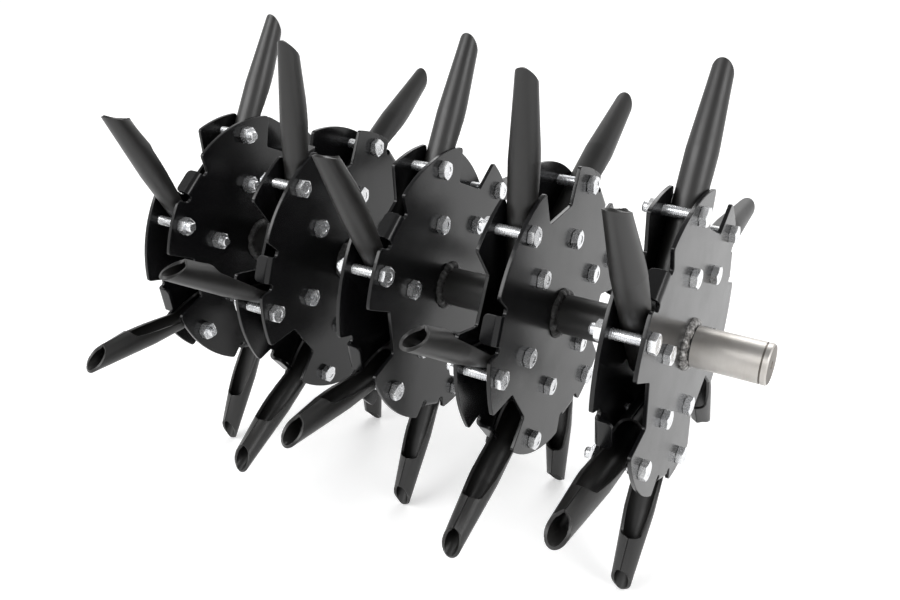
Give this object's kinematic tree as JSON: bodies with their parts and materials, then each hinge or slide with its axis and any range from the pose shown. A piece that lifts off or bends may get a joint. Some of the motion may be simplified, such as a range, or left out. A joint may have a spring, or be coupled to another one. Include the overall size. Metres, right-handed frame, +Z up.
{
  "type": "lawn core aerator rotor",
  "caption": "Lawn core aerator rotor: wheels of paired black plates on one steel shaft, with hollow coring tines bolted between the plates of each wheel.",
  "frame": {"origin": "on the shaft's axis, at the middle of its length", "axes": "+X along the shaft towards the end where the bolt heads face, +Z up, +Y completes the right-handed frame"},
  "size_m": [0.545, 0.3842, 0.3842],
  "materials": {
    "steel": "satin",
    "powder_coat": "satin",
    "tine_coat": "satin",
    "zinc": "brushed",
    "weld": "matte"
  },
  "bodies": {
    "root": {"shaft": "steel", "wheel_1_near_plate": "powder_coat", "wheel_1_far_plate": "powder_coat", "wheel_1_bolts": "zinc", "wheel_1_nuts": "zinc", "wheel_1_welds": "weld", "tine_1_1": "tine_coat", "tine_1_2": "tine_coat", "tine_1_3": "tine_coat", "tine_1_4": "tine_coat", "tine_1_5": "tine_coat", "tine_1_6": "tine_coat", "wheel_2_near_plate": "powder_coat", "wheel_2_far_plate": "powder_coat", "wheel_2_bolts": "zinc", "wheel_2_nuts": "zinc", "wheel_2_welds": "weld", "tine_2_1": "tine_coat", "tine_2_2": "tine_coat", "tine_2_3": "tine_coat", "tine_2_4": "tine_coat", "tine_2_5": "tine_coat", "tine_2_6": "tine_coat", "wheel_3_near_plate": "powder_coat", "wheel_3_far_plate": "powder_coat", "wheel_3_bolts": "zinc", "wheel_3_nuts": "zinc", "wheel_3_welds": "weld", "tine_3_1": "tine_coat", "tine_3_2": "tine_coat", "tine_3_3": "tine_coat", "tine_3_4": "tine_coat", "tine_3_5": "tine_coat", "tine_3_6": "tine_coat", "wheel_4_near_plate": "powder_coat", "wheel_4_far_plate": "powder_coat", "wheel_4_bolts": "zinc", "wheel_4_nuts": "zinc", "wheel_4_welds": "weld", "tine_4_1": "tine_coat", "tine_4_2": "tine_coat", "tine_4_3": "tine_coat", "tine_4_4": "tine_coat", "tine_4_5": "tine_coat", "tine_4_6": "tine_coat", "wheel_5_near_plate": "powder_coat", "wheel_5_far_plate": "powder_coat", "wheel_5_bolts": "zinc", "wheel_5_nuts": "zinc", "wheel_5_welds": "weld", "tine_5_1": "tine_coat", "tine_5_2": "tine_coat", "tine_5_3": "tine_coat", "tine_5_4": "tine_coat", "tine_5_5": "tine_coat", "tine_5_6": "tine_coat"}
  },
  "joints": []
}
